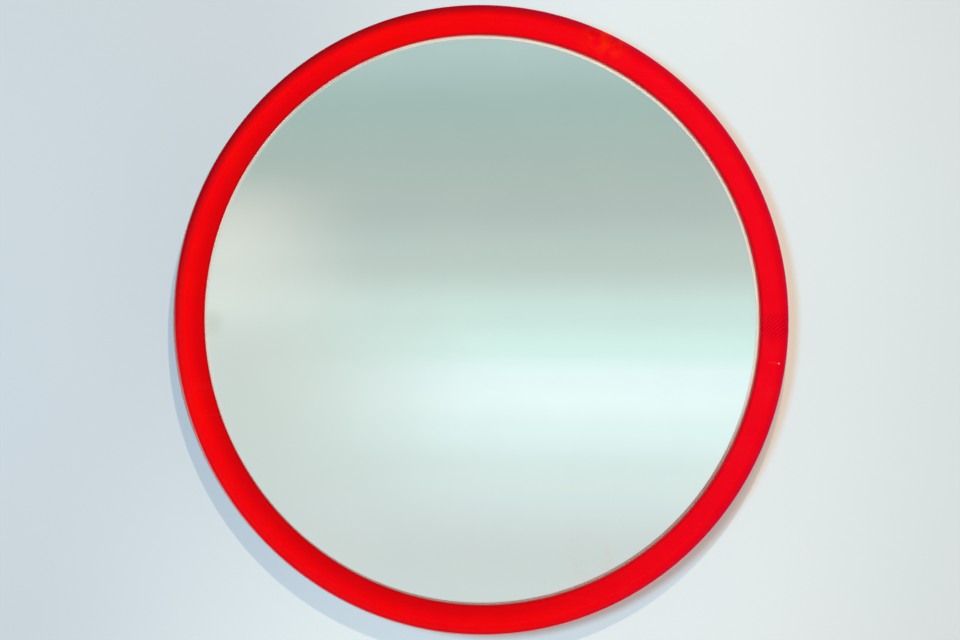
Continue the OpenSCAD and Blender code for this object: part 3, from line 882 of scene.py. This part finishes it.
def make_cover():
    """The turned dish, with three drain holes drilled through its sloping side at the bottom."""
    cover = turned_piece("cover", cover_section(), COVER_SEGMENTS)
    bm = bmesh.new()
    drain_ring_r = (COVER_FLAT_R + FLANGE_IN_R) / 2
    for degrees in DRAIN_ANGLES:
        a = math.radians(degrees - 90)
        centre = on_wall(drain_ring_r * math.cos(a), drain_ring_r * math.sin(a), COVER_BACK + DRAIN_H)
        turn = Matrix.Translation(centre) @ Matrix.Rotation(math.pi / 2, 4, "X")
        bmesh.ops.create_cone(bm, cap_ends=True, segments=40, radius1=DRAIN_R, radius2=DRAIN_R,
                              depth=DRILL_L, matrix=turn)
    cover.data = cut_away(cover, finish_mesh("drills", bm), SHARP_ANGLE)
    return cover


stand_for(make_cover(), "rear_cover")


# ---- pivot bolts and nuts

def middle(node_name):
    """Centre of a CAD node's box."""
    low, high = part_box(node_name)
    return (low + high) / 2


def pivot_set(axis_name, bolt_name, nut_name, washers_name, place_along):
    """Bolt and nut of one pivot, drawn along its axis; place_along turns (x, y, along) into a position."""
    index = "xyz".index(axis_name)
    bolt_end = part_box(bolt_name)[0][index]
    nut_seat, head_seat = (corner[index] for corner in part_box(washers_name))
    bm = bmesh.new()
    bolt_into(bm, lambda x, y, h: place_along(x, y, h + head_seat), PIVOT_BOLT_R, head_seat - bolt_end,
              PIVOT_PITCH, nut_seat - bolt_end + THREAD_PAST_NUT)
    stand_for(finish_mesh(bolt_name + "_fine", bm), bolt_name)
    bm = bmesh.new()
    nut_into(bm, lambda x, y, h: place_along(x, y, nut_seat - h), PIVOT_BOLT_R)
    stand_for(finish_mesh(nut_name + "_fine", bm), nut_name)


pan_centre = middle("pan_bolt")
tilt_centre = middle("tilt_bolt")
pivot_set("z", "pan_bolt", "pan_nut", "pan_washers", lambda x, y, h: (x, pan_centre.y + y, h))
pivot_set("x", "tilt_bolt", "tilt_nut", "tilt_washers", lambda x, y, h: (h, tilt_centre.y + x, y))


# ---- repeated fasteners, by Geometry Nodes

def screw_pattern_piece():
    """Pan head with a cross recess, standing on z = 0 with its crown towards +z, and its shank below."""
    head_r = 1.9 * RIM_SCREW_R
    head_h = 1.25 * RIM_SCREW_R
    crown = [(0, head_h), (0.35 * head_r, 0.98 * head_h), (0.6 * head_r, 0.9 * head_h),
             (0.8 * head_r, 0.74 * head_h), (0.94 * head_r, 0.48 * head_h), (head_r, 0.16 * head_h),
             (0.98 * head_r, 0.0), (RIM_SCREW_R, 0.0), (RIM_SCREW_R, -SCREW_SHANK_L),
             (0, -SCREW_SHANK_L - SCREW_POINT_L)]
    head = turned_piece("screw_head", crown, 32, upright)
    bm = bmesh.new()
    blade_size = (1.15 * head_r, 0.24 * head_r, 1.2 * head_h, 1)
    blade = Matrix.Translation((0, 0, head_h)) @ Matrix.Diagonal(blade_size)
    for turn in (0, math.pi / 2):
        made = bmesh.ops.create_cube(bm, size=1.0, matrix=Matrix.Rotation(turn, 4, "Z") @ blade)
        for v in made["verts"]:
            if v.co.z < head_h:
                v.co.x *= RECESS_TAPER
                v.co.y *= RECESS_TAPER
    shape = cut_away(head, finish_mesh("recess", bm), 30, use_self=True)
    bpy.data.objects.remove(head)
    pattern = bpy.data.objects.new("screw_pattern", shape)
    scene.collection.objects.link(pattern)
    return pattern


def bolt_pattern_piece():
    """Bolt of the head bracket: its head stands on z = 0 and its shank points to -z."""
    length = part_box("bracket_washers")[1].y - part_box("bracket_bolts")[0].y
    bm = bmesh.new()
    bolt_into(bm, upright, BRACKET_BOLT_R, length, BRACKET_PITCH, BRACKET_THREAD_L)
    return finish_mesh("bolt_pattern", bm)


def apply_tree(name, tree, values):
    """Runs a tree on an empty mesh, its inputs set by identifier, and keeps the result as a plain mesh."""
    carrier = bpy.data.objects.new(name, bpy.data.meshes.new(name))
    scene.collection.objects.link(carrier)
    modifier = carrier.modifiers.new("build", "NODES")
    modifier.node_group = tree
    for item in tree.interface.items_tree:
        if item.in_out == "INPUT" and item.name in values:
            modifier[item.identifier] = values[item.name]
    carrier.update_tag()
    shape = bpy.data.meshes.new_from_object(carrier.evaluated_get(bpy.context.evaluated_depsgraph_get()))
    carrier.modifiers.remove(modifier)
    carrier.data = shape
    return carrier


def facing_wall(tree, given, flat):
    """Stands flat points up to face the wall, at the depth that is given."""
    offset = node(tree, "CombineXYZ", Y=times(tree, given["Depth"], -1.0))
    stood = node(tree, "GeometryNodeTransform", Geometry=flat, Rotation=(math.pi / 2, 0, 0),
                 Translation=offset.outputs["Vector"])
    return stood.outputs["Geometry"]


def end_with_copies(tree, given, end, points, most_spin):
    """Ends a tree in copies of its pattern on points, each at its own random angle, as real geometry."""
    tree.is_modifier = True
    pattern = node(tree, "GeometryNodeObjectInfo", Object=given["Pattern"])
    spin = node(tree, "FunctionNodeRandomValue", data_type="FLOAT", Seed=given["Seed"])
    spin.inputs[3].default_value = most_spin
    angles = node(tree, "CombineXYZ", X=-math.pi / 2, Y=spin.outputs[1])
    copies = node(tree, "GeometryNodeInstanceOnPoints", Points=points, Instance=pattern.outputs["Geometry"],
                  Rotation=angles.outputs["Vector"])
    real = node(tree, "GeometryNodeRealizeInstances", Geometry=copies.outputs["Instances"])
    painted = node(tree, "GeometryNodeSetMaterial", Geometry=real.outputs["Geometry"],
                   Material=given["Finish"])
    link(tree, painted.outputs["Geometry"], end["Geometry"])
    return tree


def ring_of_parts_tree():
    """Copies of a pattern on a circle that faces the wall."""
    tree, given, end = new_group("Ring of fasteners", "GeometryNodeTree", [
        ("Pattern", "Object", None), ("Count", "Int", 12), ("Ring radius", "Float", 0.289),
        ("Depth", "Float", 0.1), ("Seed", "Int", 7), ("Finish", "Material", None),
    ], [("Geometry", "Geometry")])
    circle = node(tree, "GeometryNodeMeshCircle", Vertices=given["Count"], Radius=given["Ring radius"])
    turned = node(tree, "GeometryNodeTransform", Geometry=facing_wall(tree, given, circle.outputs["Mesh"]),
                  Rotation=(0, math.pi / RIM_SCREWS, 0))
    return end_with_copies(tree, given, end, turned.outputs["Geometry"], math.pi)


def corner_parts_tree():
    """Copies of a pattern on the four corners of a square that faces the wall."""
    tree, given, end = new_group("Corner fasteners", "GeometryNodeTree", [
        ("Pattern", "Object", None), ("Gap", "Float", 0.08), ("Depth", "Float", 0.08), ("Seed", "Int", 3),
        ("Finish", "Material", None),
    ], [("Geometry", "Geometry")])
    grid = node(tree, "GeometryNodeMeshGrid", Vertices_X=2, Vertices_Y=2, Size_X=given["Gap"],
                Size_Y=given["Gap"])
    return end_with_copies(tree, given, end, facing_wall(tree, given, grid.outputs["Mesh"]), 1.0)


screw_pattern = screw_pattern_piece()
screws = apply_tree("cover_screws_fine", ring_of_parts_tree(), {
    "Pattern": screw_pattern, "Count": RIM_SCREWS, "Ring radius": SCREW_RING_R, "Depth": FLANGE_BACK,
    "Seed": 7, "Finish": MATERIALS["zinc_fastener"],
})
bpy.data.objects.remove(screw_pattern)
stand_for(screws, "cover_screws")

# The holes lie inside the washers' box by half a washer, which is two bolt radii
washers_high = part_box("bracket_washers")[1]
hole_gap = 2 * (washers_high.x - 2 * BRACKET_BOLT_R)
bolt_pattern = bolt_pattern_piece()
bracket_bolts = apply_tree("bracket_bolts_fine", corner_parts_tree(), {
    "Pattern": bolt_pattern, "Gap": hole_gap, "Depth": -washers_high.y, "Seed": 3,
    "Finish": MATERIALS["zinc_fastener"],
})
bpy.data.objects.remove(bolt_pattern)
stand_for(bracket_bolts, "bracket_bolts")


# ---- CAD nodes that stay, with their finishes

for node_name, obj in frame["nodes"].items():
    if not obj.hide_render:
        dress(obj, SLOT_OF[node_name])


# ---- wall and floor

def stage_material(name, colours, painted_glows):
    """Matt paint that shows from its front only, so the object is seen from behind the wall too. Its colours
    and glow change across the sheet and its glow dims at the far side: painted light on the sheet.
    """
    material = bpy.data.materials.new(name)
    material.use_nodes = True
    tree = material.node_tree
    tree.nodes.clear()
    place = node(tree, "TexCoord").outputs["Object"]
    axes = node(tree, "SeparateXYZ", Vector=place).outputs
    side = spread(tree, minus(tree, axes["X"], times(tree, axes["Z"], 0.3)), -0.38, 0.08)
    blotch = spread(tree, noise(tree, place, 3.0, 3.0), 0.3, 0.7, 0.985, 1.0)
    tone = mix_colour(tree, 1.0, mix_colour(tree, side, *colours), blotch, "MULTIPLY")
    # Painted light: the glow, which stands in for the light on the sheet, dims at the far side.
    far_side_dimming = spread(tree, axes["X"], 0.3, 0.55, 1.0, 0.8)
    glow = mix_colour(tree, 1.0, mix_colour(tree, side, *painted_glows), far_side_dimming, "MULTIPLY")
    paint = node(tree, "BsdfPrincipled", Roughness=0.9, Specular_IOR_Level=0.1, Base_Color=tone,
                 Emission_Color=glow, Emission_Strength=1.0)
    clear = node(tree, "BsdfTransparent")
    behind = node(tree, "NewGeometry").outputs["Backfacing"]
    shown = mix_shaders(tree, behind, paint.outputs["BSDF"], clear.outputs["BSDF"])
    node(tree, "OutputMaterial", Surface=shown)
    return material


def flat_sheet(name, corner, across, up, material):
    """Sheet of the stage from one corner and two sides; it casts no shadow and isn't seen in reflections."""
    corner, across, up = Vector(corner), Vector(across), Vector(up)
    mesh = bpy.data.meshes.new(name)
    mesh.from_pydata([corner, corner + across, corner + across + up, corner + up], [], [range(4)])
    mesh.materials.append(material)
    obj = bpy.data.objects.new(name, mesh)
    scene.collection.objects.link(obj)
    obj.visible_shadow = False
    obj.visible_glossy = False
    obj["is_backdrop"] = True
    return obj


# The wall's two colours and glows are painted light, changing from left to right as the light on the wall
# does.
wall_paint = stage_material("wall_paint", ((0.61, 0.69, 0.73), (0.745, 0.79, 0.80)),
                            ((0.171, 0.036, 0.0), (0.285, 0.185, 0.16)))
floor_paint = stage_material("floor_paint", ((0.66, 0.68, 0.7), (0.7, 0.7, 0.7)),
                             ((0.13, 0.135, 0.14), (0.14, 0.14, 0.14)))
wall = flat_sheet("wall", (-STAGE_HALF, WALL_GAP, -FLOOR_DROP), (2 * STAGE_HALF, 0, 0), (0, 0, WALL_HEIGHT),
                  wall_paint)
wall.visible_diffuse = False
floor = flat_sheet("floor", (-STAGE_HALF, -FLOOR_REACH, -FLOOR_DROP), (2 * STAGE_HALF, 0, 0),
                   (0, FLOOR_REACH, 0), floor_paint)


# ---- light

def ramp(tree, value, stops):
    """Colour ramp with eased steps; stops are (position, colour)."""
    made = node(tree, "ValToRGB", Fac=value)
    made.color_ramp.interpolation = "EASE"
    elements = made.color_ramp.elements
    while len(elements) > 1:
        elements.remove(elements[-1])
    elements[0].position, elements[0].color = stops[0][0], (*stops[0][1], 1)
    for position, colour in stops[1:]:
        elements.new(position).color = (*colour, 1)
    return made.outputs["Color"]


def reflected_room(tree, axes):
    """What the mirror shows: a pale room with a dim ceiling, a bright window band and a lamp to one side."""
    height = node(tree, "MapRange", Value=axes["Z"], From_Min=-0.4, From_Max=0.4).outputs["Result"]
    room = ramp(tree, height, [
        (0.0, (0.66, 0.735, 0.715)), (0.16, (0.65, 0.715, 0.70)), (0.3, (0.645, 0.72, 0.685)),
        (0.46, (0.65, 0.72, 0.675)), (0.53, (0.65, 0.74, 0.70)), (0.63, (0.54, 0.63, 0.595)),
        (0.72, (0.47, 0.55, 0.515)), (0.81, (0.43, 0.53, 0.49)), (0.88, (0.395, 0.53, 0.495)),
        (1.0, (0.48, 0.62, 0.6)),
    ])
    window = ramp(tree, height, [
        (0.1, BLACK), (0.26, (0.09, 0.14, 0.15)), (0.33, (0.16, 0.25, 0.27)),
        (0.38, (0.22, 0.3, 0.325)), (0.42, (0.19, 0.285, 0.32)), (0.47, (0.06, 0.21, 0.2)),
        (0.525, (0.0, 0.1, 0.085)), (0.61, (-0.02, 0.01, 0.0)), (0.7, BLACK),
    ])
    bright = mix_colour(tree, spread(tree, axes["X"], -0.14, 0.28), BLACK, window)
    lamp_side = times(tree, spread(tree, axes["X"], -0.16, 0.07, 1.0, 0.0),
                      spread(tree, axes["Z"], 0.15, 0.24, 1.0, 0.0))
    lamp_side = times(tree, lamp_side, spread(tree, axes["Z"], -0.04, 0.12))
    glow = mix_colour(tree, lamp_side, BLACK, (0.2, 0.15, 0.13))
    return mix_colour(tree, 1.0, mix_colour(tree, 1.0, room, bright, "ADD"), glow, "ADD")


def make_world():
    """Soft even light for matt surfaces, a room for reflections, and a plain backdrop behind everything."""
    world = bpy.data.worlds.new("studio")
    scene.world = world
    world.use_nodes = True
    tree = world.node_tree
    tree.nodes.clear()
    axes = node(tree, "SeparateXYZ", Vector=node(tree, "TexCoord").outputs["Generated"]).outputs
    reflected = node(tree, "Background", Color=reflected_room(tree, axes))
    ambient = node(tree, "Background", Color=(0.92, 0.97, 1.0), Strength=0.26)
    backdrop = node(tree, "Background", Color=(0.62, 0.66, 0.68))
    path = node(tree, "LightPath").outputs
    lit = mix_shaders(tree, path["Is Glossy Ray"], ambient.outputs[0], reflected.outputs[0])
    seen = mix_shaders(tree, path["Is Camera Ray"], lit, backdrop.outputs[0])
    node(tree, "OutputWorld", Surface=seen)


def aim(obj, target):
    """Turns a light or a camera towards a place."""
    obj.rotation_euler = (Vector(target) - obj.location).to_track_quat("-Z", "Y").to_euler()


def off_axis(from_left, from_above):
    """Direction out from the wall, that many degrees left of and above the mirror's axis."""
    a = math.radians(from_left)
    e = math.radians(from_above)
    return Vector((-math.sin(a) * math.cos(e), -math.cos(a) * math.cos(e), math.sin(e)))


def add_light(name, kind, location, target, energy, colour, receivers, **shape):
    """Light, unseen in reflections, that lights only the given objects."""
    data = bpy.data.lights.new(name, kind)
    data.energy = energy
    data.color = colour
    for key, value in shape.items():
        setattr(data, key, value)
    obj = bpy.data.objects.new(name, data)
    obj.location = location
    obj.visible_glossy = False
    aim(obj, target)
    scene.collection.objects.link(obj)
    group = bpy.data.collections.new(name + "_receivers")
    for piece in receivers:
        group.objects.link(piece)
    obj.light_linking.receiver_collection = group


make_world()
object_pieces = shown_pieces()
back_pieces = [piece for piece in object_pieces if piece.name not in ("rim", "face", "seal")]

# The low sun and the side panel light the wall alone, so they only throw the two soft shadows
add_light("low_side", "SUN", 3 * off_axis(from_left=19.4, from_above=10.5), target=(0, 0, 0), energy=0.54,
          colour=(1.0, 0.8, 0.4), receivers=[wall], angle=math.radians(3.4))
add_light("key", "AREA", (-0.302, -1.628, 0.228), target=(0, 0, 0), energy=7.8, colour=(1.0, 0.8, 0.5),
          receivers=[wall, floor] + object_pieces, shape="DISK", size=0.02)
add_light("side", "AREA", (-0.546, -1.776, 0.013), target=(0, 0, 0), energy=20.0, colour=(0.06, 0.57, 0.9),
          receivers=[wall], shape="DISK", size=0.13)
add_light("front", "AREA", (0.8, -2.8, 0.6), target=(0, -0.1, 0), energy=35.0, colour=(1.0, 0.98, 0.96),
          receivers=object_pieces, shape="DISK", size=1.2)
add_light("behind_right", "AREA", (1.6, 1.6, 1.2), target=(0, -0.05, 0), energy=80.0,
          colour=(1.0, 0.98, 0.95), receivers=back_pieces, shape="DISK", size=0.8)
add_light("behind_left", "AREA", (-1.8, 1.2, 0.2), target=(0, -0.05, 0), energy=34.0,
          colour=(0.9, 0.95, 1.0), receivers=back_pieces, shape="DISK", size=1.0)


# ---- camera

def make_camera():
    """Just left of the mirror's axis and a little below it, looking at the rim."""
    data = bpy.data.cameras.new("camera")
    data.sensor_width = 36.0
    data.lens = CAMERA_LENS
    data.clip_start = 0.05
    camera = bpy.data.objects.new("camera", data)
    target = Vector(CAMERA_TARGET)
    camera.location = target + CAMERA_DISTANCE * off_axis(CAMERA_FROM_LEFT, CAMERA_FROM_ABOVE)
    aim(camera, target)
    scene.collection.objects.link(camera)
    scene.camera = camera


make_camera()
scene.view_settings.view_transform = "Standard"
scene.view_settings.look = "None"
